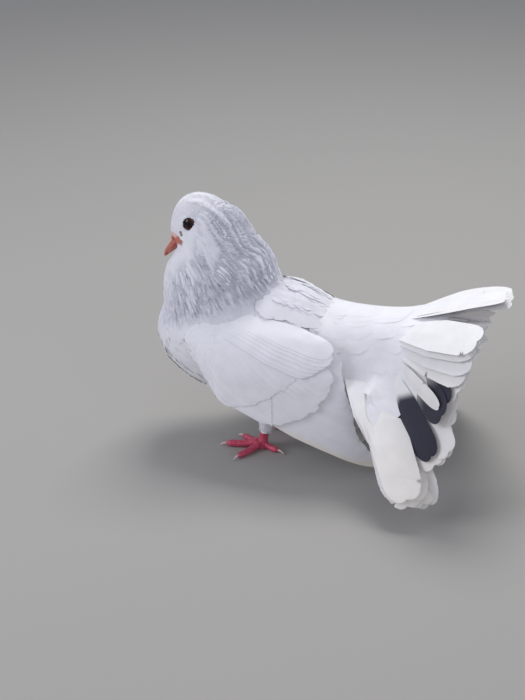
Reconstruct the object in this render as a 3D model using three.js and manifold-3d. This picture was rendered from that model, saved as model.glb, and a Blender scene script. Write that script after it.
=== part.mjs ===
// A white fantail pigeon at life size, standing with its neck drawn up and its tail fanned behind it.
// Lengths are in millimetres and angles in degrees. The bird looks along -X, its left side is -Y, +Z is up
// and the floor is z = 0. At the end the group is moved so that its box stands centred on the origin.
import * as THREE from "three";
import { mergeVertices } from "three/addons/utils/BufferGeometryUtils.js";
import Module from "manifold-3d";

const wasm = await Module();
wasm.setup();

// Driving dimensions
const gap = 0.4; // left between two pieces that touch
const vaneThick = 0.6;
const sidesOfBody = 18;
const backPinch = 0.2; // how much narrower the body is along its back than an oval

// Lines of the body: each row is x, z, half width, rise above the line and drop below it
const torsoRows = [
  [-87, 97, 0, 0, 0],
  [-83.5, 96, 19, 16, 19],
  [-71, 94, 32, 28, 35.5],
  [-50, 90, 39, 38, 45.5],
  [-25, 84, 42.5, 49, 47],
  [0, 80, 43.5, 54, 47],
  [25, 79, 42, 51, 44],
  [48, 82, 37, 42, 38],
  [66, 88.5, 29, 32, 31],
  [79, 97, 21, 22, 23],
  [86, 102, 12, 13, 13],
  [90, 105, 0, 0, 0],
];
const neckRows = [
  [-41, 190, 0, 0, 0],
  [-41.5, 186, 11, 15, 11],
  [-42, 178, 16, 24.5, 18],
  [-42.5, 168, 20, 31.5, 22],
  [-42, 156, 24.5, 37, 27],
  [-40, 143, 30, 42, 41],
  [-38.7, 137, 32.8, 43.5, 46],
  [-37, 130, 35, 44, 49.5],
  [-33, 116, 38.5, 44, 54],
  [-29, 102, 38.5, 40, 57],
  [-26, 92, 34, 30, 52],
  [-25, 86, 0, 0, 0],
];
const headRows = [
  [-34, 188, 0, 0, 0],
  [-37.5, 184.5, 9, 10.5, 12],
  [-43, 179, 13, 16.5, 20],
  [-50, 172, 14.8, 21.5, 24],
  [-58, 164, 13.4, 22.5, 22],
  [-65, 157.5, 10.2, 19.5, 17],
  [-70.5, 152.5, 6.5, 12.5, 10],
  [-73, 150, 0, 0, 0],
];
const neckFoot = { at: new THREE.Vector3(-40, 0, 112), up: new THREE.Vector3(-0.42, 0, 0.907) };
const neckTop = { at: new THREE.Vector3(-50, 0, 154.5), up: new THREE.Vector3(-0.5, 0, 0.866) };

// Eye, lids and bill
const eye = { at: [-57, 8.2, 171.5], radius: 6.3 };
const lid = { radius: 5.1, thick: 0.95, out: 4.4 };
const billRows = [
  [-66, 157.5, 0, 0, 0],
  [-67.5, 156, 4.3, 4.2, 4.4],
  [-71, 152.6, 4.2, 4.1, 4.0],
  [-75.2, 148.6, 3.4, 3.5, 3.1],
  [-79, 144.2, 2.4, 2.7, 2.2],
  [-81.4, 140.6, 1.4, 1.5, 1.3],
  [-82.2, 138.4, 0, 0, 0],
];
const mouthLine = [
  [-60, 160.8],
  [-67, 154.4],
  [-72, 150.2],
  [-77, 145.6],
  [-80, 142],
  [-82, 138],
  [-86, 130],
];
const cere = { at: [-72.4, 2.3, 156.2], size: [4.0, 2.4, 2.7], pitch: 48 };
const nostril = { at: [-74.6, 4.1, 153], size: [2.2, 0.9, 0.55], pitch: 48 };

// Each wing lies on a curved sheet beside the body. Its outline is two lines of x, z from wrist to tip.
const wingSheet = { middle: 2, height: 72, out: 50, frontBend: 8, backBend: 3.6, topBend: 30, footBend: 4.5 };
const wingDrop = { left: 0, right: 4 };
const wingLean = 0.15; // how steeply a feather leans against the sheet
// How far the two faces of the wing's fleshy core stand off the sheet, at its edge and more in its middle
const wingCore = { outer: { edge: 0.6, middle: 3.4 }, inner: { edge: -0.8, middle: -6 } };
const leadingEdge = [
  [-54, 91],
  [-47, 79],
  [-27, 53.5],
  [6, 42],
  [38, 28],
  [71, 15.5],
  [95, 9],
];
const upperEdge = [
  [-54, 93],
  [-46, 105],
  [-28, 116.5],
  [-5, 124.5],
  [12, 125.5],
  [30, 122.5],
  [47, 116],
  [60, 104],
  [65, 78],
  [75, 57],
  [81, 30],
  [95, 12],
];

// Rows of wing feathers: roots and tips lie on the two lines, the lowest feather first. The lifts are how
// far each feather's root and tip stand off the sheet, and sag is how far its middle bows upward.
const wingRows = {
  flight: {
    roots: [[-27, 64], [-26, 71], [-20, 80], [-11, 90], [-2, 98], [6, 105], [12, 109], [18, 112]],
    tips: [[97, 12], [88, 19], [83, 28], [79, 39], [76, 50], [72, 62], [67, 73], [64, 86]],
    count: 11,
    width: 20,
    lifts: [0, 0],
    sag: [-1, 6],
    us: [0, 0.35, 0.7, 0.92, 1],
  },
  greater: {
    roots: [[-37, 70], [-34, 80], [-26, 90], [-15, 99], [-2, 106], [9, 110]],
    tips: [[20, 43], [31, 44], [42, 49], [51, 57], [58, 67], [61, 78]],
    count: 7,
    width: 16,
    lifts: [2.8, 3.9],
    sag: [0, 4],
    us: [0, 0.5, 0.86, 1],
  },
  median: {
    roots: [[-43, 78], [-41, 87], [-33, 97], [-20, 105], [-4, 111]],
    tips: [[-9, 53], [2, 55], [15, 61], [27, 70], [38, 82]],
    count: 5,
    width: 18,
    lifts: [3.8, 6.0],
    sag: [0, 3],
    us: [0, 0.5, 0.86, 1],
  },
  scapular: {
    roots: [[-24, 103], [-25, 109], [-22, 114], [-14, 118]],
    tips: [[46, 86], [58, 92], [60, 100], [48, 109]],
    count: 5,
    width: 19,
    lifts: [5.6, 7.6],
    sag: [4, 4],
    us: [0, 0.4, 0.8, 1],
  },
};

// The tail's feathers start on a short arc at the end of the rump and spread along a bent line of directions
const fan = { root: [74, 0, 106.5], wide: 15, drop: 9, back: 7, twist: 14, featherWidth: 28, reach: 27 };
const fanAngles = [
  [-57, -38],
  [-47, -35],
  [-43, -22],
  [-40, -8],
  [-35, 5],
  [-26, 14],
  [-13, 18],
  [0, 19],
  [13, 17],
  [25, 11],
  [35, 1],
  [43, -9],
  [49, -20],
  [54, -31],
  [58, -40],
];
// Bunches of feathers, from the leftmost on: place in the fan, lengths and how much each is raised
const bunches = {
  tail_left: [
    { from: -1, to: -0.87, count: 4, lengths: [122, 131], rise: [0, -7], twist: -14 },
    { from: -0.8, to: -0.6, count: 4, lengths: [114, 99], rise: [0, 1] },
    { from: -0.52, to: -0.36, count: 4, lengths: [100, 100], rise: [-2, 5] },
  ],
  tail_middle: [
    { from: -0.3, to: -0.17, count: 3, lengths: [84, 90], rise: [-7, -5] },
    { from: -0.09, to: 0.33, count: 6, lengths: [101, 99], rise: [1, 0] },
  ],
  tail_right: [{ from: 0.42, to: 1, count: 8, lengths: [92, 122], rise: [1, 0] }],
};
const tailCovert = {
  from: -0.9,
  to: 0.9,
  count: 7,
  lengths: [40, 46],
  width: 22,
  lifts: [1.5, 4.6],
  start: -2,
  us: [0, 0.5, 0.86, 1],
};

// Legs, drawn with the foot's pad at the origin; each foot stands aside of the middle plane and some way back
const leg = { aside: 19, left: 0, right: 19 };
const thighRows = [
  [14, 58, 0, 0, 0],
  [12, 53, 12, 13, 13],
  [9, 42, 12, 13, 12],
  [6, 32, 9.5, 10, 9.5],
  [4, 24, 7, 7, 7],
  [3, 17, 5.6, 5.8, 5.6],
  [2.5, 13, 5, 5, 5],
  [2.4, 12.6, 0, 0, 0],
];
const shankRows = [
  [2.6, 16, 0, 0, 0],
  [2.5, 15.6, 3.2, 3.4, 3.4],
  [1.6, 10, 3.1, 3.3, 3.3],
  [0.6, 6, 3.8, 4, 4],
  [0, 2, 4.2, 4.2, 4.4],
  [0, -1, 3.4, 3.4, 3.4],
  [0, -1.2, 0, 0, 0],
];
const toes = {
  front: { heading: 14, reach: 27, thick: 3.0 },
  inner: { heading: -26, reach: 20, thick: 2.7 },
  outer: { heading: 62, reach: 25, thick: 2.7 },
  hind: { heading: 162, reach: 15, thick: 2.6 },
};
const claw = { long: 6.5, radius: 1.05, overlap: 1.5 };

const finish = {
  plumage: { color: 0xe9e9ee, roughness: 0.85 },
  bill: { color: 0xb4493f, roughness: 0.5 },
  eye: { color: 0x1a0b08, roughness: 0.1 },
  scale: { color: 0xb32a48, roughness: 0.55 },
  claw: { color: 0xd8b8b4, roughness: 0.45 },
};

const { lerp: mix, degToRad: rad, clamp } = THREE.MathUtils;
const vec = (x, y, z) => new THREE.Vector3(x, y, z);
const upward = vec(0, 0, 1);
const sides = { left: -1, right: 1 };
const hump = (x) => Math.max(0, 1 - x * x);
const union = (solids) => wasm.Manifold.union(solids);
const curveOf = (rows) => new THREE.CatmullRomCurve3(rows.map(([x, z]) => vec(x, 0, z)));

let seed = 4242;
function chance(spread) {
  seed = (seed * 16807) % 2147483647;
  return (seed / 2147483647 - 0.5) * 2 * spread;
}

// A closed mesh as a manifold, and a manifold's largest closed surface as a geometry
function solidOf(geometry) {
  const bare = geometry.clone();
  bare.deleteAttribute("normal");
  bare.deleteAttribute("uv");
  const merged = mergeVertices(bare, 1e-4);
  return new wasm.Manifold(
    new wasm.Mesh({
      numProp: 3,
      vertProperties: new Float32Array(merged.attributes.position.array),
      triVerts: new Uint32Array(merged.index.array),
    }),
  );
}

function geometryOf(solid) {
  const [largest] = solid.decompose().sort((a, b) => b.volume() - a.volume());
  const mesh = largest.getMesh();
  const geometry = new THREE.BufferGeometry();
  geometry.setAttribute("position", new THREE.BufferAttribute(mesh.vertProperties, 3));
  geometry.setIndex(new THREE.BufferAttribute(mesh.triVerts, 1));
  geometry.computeVertexNormals();
  return geometry;
}

// A sphere's mesh drawn out along a line. The radii are to the side, above and below the line.
function ringed(line, radii, across, around, rings, grow = 0, pinch = 0) {
  const ball = new THREE.SphereGeometry(1, around, rings);
  for (let ring = 0; ring <= rings; ring++) {
    const t = ring / rings;
    const ahead = line.getTangent(t);
    const above = vec().crossVectors(ahead, across).normalize();
    const beside = vec().crossVectors(above, ahead).normalize();
    const r = radii.getPoint(t);
    const end = ring === 0 ? -1 : ring === rings ? 1 : 0;
    for (let side = 0; side <= around; side++) {
      const turn = (side / around) * Math.PI * 2;
      const p = line.getPoint(t).addScaledVector(ahead, end * grow);
      if (end === 0) {
        const rise = Math.sin(turn);
        const narrow = 1 - pinch * Math.max(0, rise) ** 2;
        p.addScaledVector(beside, -Math.cos(turn) * narrow * (r.x + grow));
        p.addScaledVector(above, rise * ((rise > 0 ? r.y : r.z) + grow));
      }
      ball.attributes.position.setXYZ(ring * (around + 1) + side, p.x, p.y, p.z);
    }
  }
  return solidOf(ball);
}

// A round body on a bent line in the bird's middle plane
function loft(rows, around, grow = 0, perRow = 2, pinch = 0) {
  const radii = new THREE.CatmullRomCurve3(rows.map((r) => vec(r[2], r[3], r[4])));
  return ringed(curveOf(rows), radii, vec(0, 1, 0), around, (rows.length - 1) * perRow, grow, pinch);
}

// A thin curved plate between two faces given as functions of u and v, split at the steps us and vs.
// Both faces are split into the same triangles.
function plate(outer, inner, us, vs) {
  const points = [outer, inner].flatMap((face) => us.flatMap((u) => vs.flatMap((v) => face(u, v).toArray())));
  const along = us.length - 1;
  const wide = vs.length - 1;
  const at = (face, i, j) => (face * us.length + i) * vs.length + j;
  const index = [];
  const quad = (a, b, c, d) => index.push(a, b, c, a, c, d);
  for (let i = 0; i < along; i++) {
    for (let j = 0; j < wide; j++) {
      quad(at(0, i, j), at(0, i + 1, j), at(0, i + 1, j + 1), at(0, i, j + 1));
      const [a, b, c, d] = [at(1, i, j), at(1, i + 1, j), at(1, i + 1, j + 1), at(1, i, j + 1)];
      index.push(a, c, b, a, d, c);
    }
    quad(at(0, i, 0), at(1, i, 0), at(1, i + 1, 0), at(0, i + 1, 0));
    quad(at(0, i + 1, wide), at(1, i + 1, wide), at(1, i, wide), at(0, i, wide));
  }
  for (let j = 0; j < wide; j++) {
    quad(at(0, 0, j + 1), at(1, 0, j + 1), at(1, 0, j), at(0, 0, j));
    quad(at(0, along, j), at(1, along, j), at(1, along, j + 1), at(0, along, j + 1));
  }
  const geometry = new THREE.BufferGeometry();
  geometry.setAttribute("position", new THREE.Float32BufferAttribute(points, 3));
  geometry.setIndex(index);
  const solid = solidOf(geometry);
  if (solid.volume() > 0) return solid;
  for (let k = 0; k < index.length; k += 3) [index[k + 1], index[k + 2]] = [index[k + 2], index[k + 1]];
  return solidOf(geometry.setIndex(index));
}

const steps = (count) => Array.from({ length: count + 1 }, (_, i) => i / count);
const tailSteps = [0, 0.4, 0.75, 0.93, 1];
const acrossVane = [-1, 0, 1];
// Half width along a feather: narrow at the root, rounded off at the tip
const vaneShape = (u) => {
  const rounded = Math.sqrt(Math.max(0.14, 1 - (Math.max(0, u - 0.78) / 0.235) ** 2));
  return Math.min(1, 0.22 + 1.4 * u) * rounded;
};

// Everything on one side of a plane, as a big box set with its bottom face on the plane
function halfSpace(point, normal, size = 400) {
  const box = new THREE.BoxGeometry(size, size, size);
  const turn = new THREE.Quaternion().setFromUnitVectors(upward, normal.clone().normalize());
  const middle = normal.clone().normalize().multiplyScalar(size / 2).add(point);
  return solidOf(box.applyQuaternion(turn).translate(middle.x, middle.y, middle.z));
}
const cutAt = (cut, by) => cut.at.clone().addScaledVector(cut.up, by);
const below = (cut) => halfSpace(cutAt(cut, -gap / 2), cut.up.clone().negate());
const above = (cut) => halfSpace(cutAt(cut, gap / 2), cut.up);

function ball(radius, [x, y, z], side, around = 12) {
  const g = new THREE.SphereGeometry(radius, around, Math.round(around * 0.7));
  return solidOf(g.translate(x, y * side, z));
}

function ovalBall({ at, size, pitch }, side, around, grow = 0) {
  const g = new THREE.SphereGeometry(1, around, Math.round(around * 0.8));
  g.scale(...size.map((r) => r + grow)).rotateY(-rad(pitch));
  return solidOf(g.translate(at[0], at[1] * side, at[2]));
}

const group = new THREE.Group();

function add(name, solid, look) {
  const material = new THREE.MeshStandardMaterial({ metalness: 0, ...finish[look] });
  const mesh = new THREE.Mesh(geometryOf(solid), material);
  mesh.name = name;
  group.add(mesh);
}

// Flesh: one body, parted into head, neck and torso by two thin cuts
const torsoOf = (grow) => loft(torsoRows, sidesOfBody, grow, 2, backPinch);
const neckOf = (grow) => loft(neckRows, sidesOfBody, grow);
const neckWhole = neckOf(0);
const headWhole = loft(headRows, 16);
const flesh = union([torsoOf(0), neckWhole, headWhole]);
const torsoGrown = torsoOf(gap);
const fleshGrown = union([torsoGrown, neckOf(gap)]);

function lidRing(side) {
  const ring = new THREE.TorusGeometry(lid.radius, lid.thick, 5, 12);
  ring.rotateX(Math.PI / 2).rotateZ(-side * rad(12)).rotateX(side * rad(-6));
  const [x, y, z] = eye.at;
  return solidOf(ring.translate(x - 0.8, side * (y + lid.out), z));
}

// Everything in front of the mouth's line, or behind it, with half a gap kept from the line
function besideMouth(front) {
  const shift = (front ? 1 : -1) * gap * 0.36;
  const shape = new THREE.Shape(mouthLine.map(([x, z]) => new THREE.Vector2(x - shift, z + shift)));
  const corners = front ? [[-140, 130], [-140, 220], [-60, 220]] : [[-86, 60], [0, 60], [0, 160]];
  for (const [x, z] of corners) shape.lineTo(x, z);
  const prism = new THREE.ExtrudeGeometry(shape, { depth: 40, bevelEnabled: false });
  return solidOf(prism.rotateX(Math.PI / 2).translate(0, 20, 0));
}

const bothSides = (make) => Object.values(sides).map(make);
const ceres = (grow) => bothSides((side) => ovalBall(cere, side, 8, grow));
const billOf = (grow) => union([loft(billRows, 10, grow), ...ceres(grow)]);
const headCuts = union([billOf(gap), ...bothSides((side) => ball(eye.radius + gap, eye.at, side))]);
const headSolid = union([headWhole, neckWhole, ...bothSides(lidRing)]).intersect(above(neckTop));
add("head", headSolid.subtract(headCuts), "plumage");
add("neck", flesh.intersect(below(neckTop)).intersect(above(neckFoot)).subtract(billOf(gap)), "plumage");
add("torso", flesh.intersect(below(neckFoot)), "plumage");
for (const [name, side] of Object.entries(sides)) add("eye_" + name, ball(eye.radius, eye.at, side), "eye");
const nostrils = union(bothSides((side) => ovalBall(nostril, side, 6)));
add("bill_upper", billOf(0).subtract(nostrils).intersect(besideMouth(true)), "bill");
add("bill_lower", billOf(0).intersect(besideMouth(false)), "bill");

// A point of the wing's sheet, standing off it by the lift
function wingPoint(side, x, z, lift) {
  const { middle, height, out, frontBend, backBend, topBend, footBend } = wingSheet;
  const a = (x - middle) / 70;
  const b = (z - height) / 50;
  const bend = (a > 0 ? backBend : frontBend) * a * a + (b > 0 ? topBend : footBend) * b * b;
  return vec(x, side * (out - bend + lift), z);
}

// One wing feather from its root to its tip. Its lower edge stands off the sheet and its upper one leans in,
// so that each feather passes over the next one down.
function wingVane(side, { root, tip, sag, width, lifts, us }) {
  const line = new THREE.QuadraticBezierCurve3(root, root.clone().lerp(tip, 0.5), tip);
  const bow = vec().crossVectors(vec(0, -1, 0), tip.clone().sub(root)).normalize();
  line.v1.addScaledVector(bow, 2 * sag);
  const face = (half) => (u, v) => {
    const beside = vec().crossVectors(vec(0, -1, 0), line.getTangent(u)).normalize();
    const reach = (v * width * vaneShape(u)) / 2;
    const p = line.getPoint(u).addScaledVector(beside, reach);
    const lift = mix(lifts[0], lifts[1], Math.min(1, u * 1.8)) - wingLean * reach + 0.3 * (1 - v * v) * u;
    return wingPoint(side, p.x, p.z, lift + half * vaneThick);
  };
  return plate(face(0.5), face(-0.5), us, acrossVane);
}

function wingSolid(side) {
  const leading = curveOf(leadingEdge);
  const upper = curveOf(upperEdge);
  const core = ({ edge, middle }) => (u, v) => {
    const p = leading.getPoint(u * 0.56).lerp(upper.getPoint(u * 0.5), mix(0.02, 0.97, v));
    return wingPoint(side, p.x, p.z, edge + middle * (1 - u ** 3) * Math.sqrt(hump(2 * v - 1)));
  };
  const parts = [plate(core(wingCore.outer), core(wingCore.inner), steps(7), steps(8))];
  for (const { roots, tips, count, width, lifts, sag, us } of Object.values(wingRows))
    for (let i = 0; i < count; i++) {
      const t = i / (count - 1);
      const root = curveOf(roots).getPoint(t);
      const tip = curveOf(tips).getPoint(t);
      tip.lerp(root, chance(0.012));
      parts.push(wingVane(side, { root, tip, sag: mix(...sag, t), width, lifts, us }));
    }
  return union(parts);
}
for (const [name, side] of Object.entries(sides))
  add("wing_" + name, wingSolid(side).translate([0, 0, -wingDrop[name]]).subtract(fleshGrown), "plumage");

// Direction of the tail at s, from -1 for the outermost feather on the left to 1 for the one on the right
const fanLine = new THREE.CatmullRomCurve3(
  fanAngles.map(([yaw, pitch]) => {
    const flat = Math.cos(rad(pitch));
    return vec(flat * Math.cos(rad(yaw)), flat * Math.sin(rad(yaw)), Math.sin(rad(pitch)));
  }),
);
const fanRay = (s) => fanLine.getPoint(clamp((s + 1) / 2, 0, 1)).normalize();
function fanFrame(s, rise = 0) {
  const ray = fanRay(s);
  const level = vec(ray.x, ray.y, 0).normalize();
  ray.applyAxisAngle(vec().crossVectors(level, upward), rad(rise));
  const beside = fanRay(s + 0.02).sub(fanRay(s - 0.02));
  beside.addScaledVector(ray, -beside.dot(ray)).normalize();
  const root = vec(fan.root[0] + fan.back * hump(s), fan.wide * s, fan.root[2] - fan.drop * s * s);
  return { ray, beside, above: vec().crossVectors(ray, beside).normalize(), root };
}

// One tail feather, leaning so that its outer edge passes over the next one out
const plainVane = { rise: 0, lifts: [0, 0], twist: fan.twist, start: 16, us: tailSteps, grow: 0 };
function tailVane(s, shape) {
  const { length, width, rise, lifts, twist, start, us, grow } = { ...plainVane, ...shape };
  const { ray, beside, above, root } = fanFrame(s, rise);
  const lean = -Math.sin(rad(twist)) * clamp(s / 0.06, -1, 1);
  const crest = 1.6 * Math.max(0, 1 - Math.abs(s) / 0.1);
  const face = (half) => (u, v) => {
    const reach = v * ((width * vaneShape(u)) / 2 + grow);
    return root
      .clone()
      .addScaledVector(ray, start + (length - start) * u + (u === 1 ? grow : 0) - (u === 0 ? grow : 0))
      .addScaledVector(beside, reach)
      .addScaledVector(above, crest + mix(...lifts, u) - lean * reach + 0.9 * (1 - v * v) * u)
      .addScaledVector(above, half * (vaneThick + 2 * grow));
  };
  return plate(face(0.5), face(-0.5), us, acrossVane);
}

// The fleshy base that holds one part of the fan
function tailCore(from, to, grow) {
  const face = (way) => (u, v) => {
    const { ray, above, root } = fanFrame(mix(from - 0.03 - grow * 0.05, to + 0.03 + grow * 0.05, v));
    const thick = mix(way > 0 ? 6 : 9, 0.8, Math.min(1, u * 1.02) ** 0.8) + grow;
    return root.addScaledVector(ray, mix(-6, fan.reach, u)).addScaledVector(above, way * thick);
  };
  return plate(face(1), face(-1), steps(2), steps(5));
}

function tailSolid(name, grow = 0) {
  const vanes = [];
  for (const { from, to, count, lengths, rise, twist = fan.twist } of bunches[name])
    for (const t of steps(count - 1)) {
      const shape = { length: mix(...lengths, t), rise: mix(...rise, t), twist };
      vanes.push(tailVane(mix(from, to, t), { ...shape, width: fan.featherWidth, grow }));
    }
  const [first, last] = [bunches[name][0].from, bunches[name].at(-1).to];
  const { from, to, count, lengths, ...covert } = tailCovert;
  for (const t of steps(count - 1)) {
    const s = mix(from, to, t);
    if (s > first - 0.05 && s < last + 0.05)
      vanes.push(tailVane(s, { ...covert, length: mix(...lengths, Math.abs(s)), grow }));
  }
  return union([tailCore(first, last, grow), ...vanes]);
}
const tailMiddle = tailSolid("tail_middle").subtract(torsoGrown);
add("tail_middle", tailMiddle, "plumage");
const besideMiddle = union([tailSolid("tail_middle", gap), torsoGrown]);
for (const name of ["tail_left", "tail_right"]) add(name, tailSolid(name).subtract(besideMiddle), "plumage");

// A round body on a line that leaves the foot with the toe's heading: rows are reach, height and radius
const floor = halfSpace(vec(0, 0, 0), upward);
function onToe(way, rows, around, rings, grow) {
  const line = new THREE.CatmullRomCurve3(rows.map(([reach, z]) => vec(way.x * reach, way.y * reach, z)));
  const radii = new THREE.CatmullRomCurve3(rows.map(([, , r]) => vec(r, r, r)));
  return ringed(line, radii, vec().crossVectors(upward, way), around, rings, grow).intersect(floor);
}

function toeParts({ heading, reach, thick }, side) {
  const way = vec(-Math.cos(rad(heading)), side * Math.sin(rad(heading)), 0);
  const toeRows = [
    [0, 5.2, 0],
    [1, 5, thick],
    [reach * 0.25, 3.4, thick],
    [reach * 0.5, thick * 0.86, thick * 0.9],
    [reach * 0.78, thick * 0.86, thick * 0.95],
    [reach * 0.96, thick * 0.8, thick * 0.75],
    [reach, thick * 0.75, 0],
  ];
  const start = reach * 0.96;
  const clawRows = [
    [start - claw.overlap, thick * 0.9, 0],
    [start - claw.overlap * 0.8, thick * 0.9, claw.radius],
    [start + claw.long * 0.4, thick * 0.95, claw.radius * 0.9],
    [start + claw.long * 0.8, thick * 0.5, claw.radius * 0.55],
    [start + claw.long, 0.35, 0],
  ];
  const [toe, toeGrown] = [0, gap].map((grow) => onToe(way, toeRows, 7, 7, grow));
  const tip = halfSpace(way.clone().multiplyScalar(start + gap), way);
  return { toe, toeGrown, claw: onToe(way, clawRows, 5, 4, 0).intersect(tip).subtract(toeGrown) };
}

for (const [name, side] of Object.entries(sides)) {
  const place = (solid) => solid.translate([leg[name], side * leg.aside, 0]);
  const shankGrown = place(loft(shankRows, 12, gap, 1));
  add("thigh_" + name, place(loft(thighRows, 12)).subtract(union([torsoGrown, shankGrown])), "plumage");
  add("shank_" + name, place(loft(shankRows, 12, 0, 1)).intersect(floor), "scale");
  const taken = [shankGrown];
  for (const [which, shape] of Object.entries(toes)) {
    const parts = toeParts(shape, side);
    add("toe_" + name + "_" + which, place(parts.toe).subtract(union(taken)), "scale");
    add("claw_" + name + "_" + which, place(parts.claw), "claw");
    taken.push(place(parts.toeGrown));
  }
}

const box = new THREE.Box3().setFromObject(group);
const centre = box.getCenter(vec());
group.position.set(-centre.x, -centre.y, -box.min.z);

export default group;
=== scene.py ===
import math

import bmesh
import bpy
import numpy as np
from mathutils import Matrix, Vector
from mathutils.bvhtree import BVHTree


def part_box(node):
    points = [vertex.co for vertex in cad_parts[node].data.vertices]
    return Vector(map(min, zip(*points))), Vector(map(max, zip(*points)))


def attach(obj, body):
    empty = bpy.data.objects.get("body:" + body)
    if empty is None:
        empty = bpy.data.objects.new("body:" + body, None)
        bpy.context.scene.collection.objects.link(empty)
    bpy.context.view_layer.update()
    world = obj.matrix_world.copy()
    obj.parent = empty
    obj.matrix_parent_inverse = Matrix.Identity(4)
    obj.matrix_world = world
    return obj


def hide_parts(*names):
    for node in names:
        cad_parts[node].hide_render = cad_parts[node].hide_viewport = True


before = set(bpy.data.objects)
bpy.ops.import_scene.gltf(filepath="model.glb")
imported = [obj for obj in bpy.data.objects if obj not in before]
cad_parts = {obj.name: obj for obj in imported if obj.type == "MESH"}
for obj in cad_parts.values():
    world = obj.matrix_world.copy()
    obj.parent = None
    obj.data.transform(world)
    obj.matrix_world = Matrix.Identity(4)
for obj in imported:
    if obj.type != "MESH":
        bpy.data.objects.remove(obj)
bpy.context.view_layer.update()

# The bird is drawn in millimetres: it looks along -X, its left side is -Y, and the floor is z = 0.
mm = 0.001
eyeAt = np.array([-57.0, -8.2, 171.5])  # where the left eye's centre is drawn
eyeLow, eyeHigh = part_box("eye_left")
shift = np.array((eyeLow + eyeHigh) / 2) / mm - eyeAt
chance = np.random.default_rng(4242)
sides = {"left": -1, "right": 1}


def toFrame(points):
    return (np.asarray(points, float) + shift) * mm


def toBird(points):
    return np.asarray(points, float) / mm - shift


def unit(vectors):
    vectors = np.asarray(vectors, float)
    return vectors / np.maximum(np.linalg.norm(vectors, axis=-1, keepdims=True), 1e-9)


def smooth(low, high, x):
    t = np.clip((np.asarray(x, float) - low) / (high - low), 0, 1)
    return t * t * (3 - 2 * t)


def through(rows, t):
    # a smooth curve through the rows at t from 0 to 1, for one t or many
    rows = np.asarray(rows, float)
    at = np.clip(np.asarray(t, float), 0, 1) * (len(rows) - 1)
    i = np.minimum(at.astype(int), len(rows) - 2)
    f = (at - i)[..., None]
    pick = lambda k: rows[np.clip(i + k, 0, len(rows) - 1)]
    before, a, b, after = pick(-1), pick(0), pick(1), pick(2)
    return 0.5 * (2 * a + (b - before) * f + (2 * before - 5 * a + 4 * b - after) * f**2
                  + (3 * a - before - 3 * b + after) * f**3)


def noise(points, size, seed=0):
    # smooth value noise from 0 to 1, with bumps about as wide as size
    p = np.asarray(points, float) / size + 1000.5
    cell = np.floor(p).astype(np.int64)
    f = p - cell
    f = f * f * (3 - 2 * f)
    total = 0
    for corner in np.ndindex(2, 2, 2):
        c = cell + corner
        h = (c[..., 0] * 73856093) ^ (c[..., 1] * 19349663) ^ (c[..., 2] * 83492791) ^ (seed * 7919)
        h = ((h ^ (h >> 13)) * 1274126177) & 0xFFFFFFFF
        h = ((h ^ (h >> 15)) * 668265263) & 0xFFFFFFFF
        weight = np.prod(np.where(np.array(corner) == 1, f, 1 - f), axis=-1)
        total = total + weight * ((h >> 8) & 0xFFFF) / 65535.0
    return total


# Materials
def shaderOf(name, **sockets):
    material = bpy.data.materials.new(name)
    material.use_nodes = True
    nodes, links = material.node_tree.nodes, material.node_tree.links
    shader = nodes["Principled BSDF"]
    for socket, value in sockets.items():
        shader.inputs[socket.replace("_", " ")].default_value = value
    return material, nodes, links, shader


def addNode(nodes, kind, **values):
    node = nodes.new(kind)
    for key, value in values.items():
        if key in node.inputs:
            node.inputs[key].default_value = value
        else:
            setattr(node, key, value)
    return node


def addCloud(nodes, links, scale, detail):
    # noise in the piece's own coordinates
    place = addNode(nodes, "ShaderNodeTexCoord")
    cloud = addNode(nodes, "ShaderNodeTexNoise", Scale=scale, Detail=detail)
    links.new(place.outputs["Object"], cloud.inputs["Vector"])
    return place, cloud


def addRamp(nodes, links, shader, value, *stops):
    # the base colour runs through the stops, each a position and a colour
    ramp = addNode(nodes, "ShaderNodeValToRGB")
    elements = ramp.color_ramp.elements
    for k, (position, colour) in enumerate(stops):
        element = elements[k] if k < 2 else elements.new(position)
        element.position, element.color = position, (*colour, 1)
    links.new(value, ramp.inputs["Fac"])
    links.new(ramp.outputs["Color"], shader.inputs["Base Color"])


def addBump(nodes, links, shader, height, strength, deep):
    bump = addNode(nodes, "ShaderNodeBump", Strength=strength, Distance=deep * mm)
    links.new(height, bump.inputs["Height"])
    links.new(bump.outputs["Normal"], shader.inputs["Normal"])


plumage = {
    "roughness": 0.78,
    "sheen": 0.12,
    "mottleSize": 11.0,  # mm
    "mottle": (0.93, 1.0),  # how far the tint is dimmed by the mottling
    "barbDepth": 0.05,  # mm
}


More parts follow.
